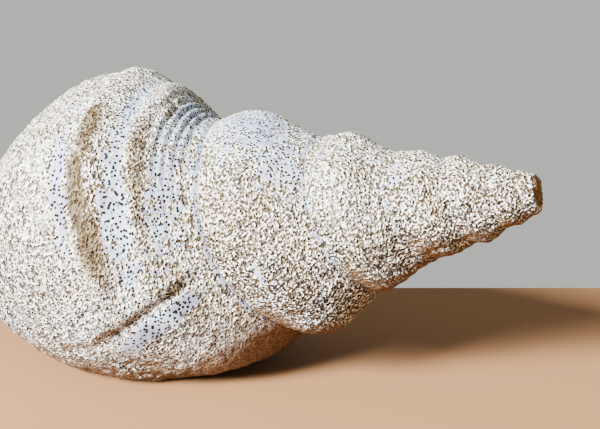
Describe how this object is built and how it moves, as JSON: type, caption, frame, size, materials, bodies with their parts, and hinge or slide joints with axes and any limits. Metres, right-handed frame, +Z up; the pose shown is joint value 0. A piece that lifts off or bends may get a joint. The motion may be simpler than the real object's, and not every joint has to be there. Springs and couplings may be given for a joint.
{
  "type": "horse conch shell",
  "caption": "Large spindle-shaped sea shell with a tall knobbed spire, a wide mouth and a tapering canal, bleached and riddled with small bored holes, lying mouth down.",
  "frame": {"origin": "middle of the shell's outline, on the surface that it rests on", "axes": "+X along the shell towards the broken tip of the spire, +Z up; the mouth faces down and its outer lip is on the +Y side"},
  "size_m": [0.314, 0.1494, 0.1234],
  "materials": {
    "shell": "matt, chalky and pitted"
  },
  "bodies": {
    "root": {"shell": "shell"}
  },
  "joints": []
}
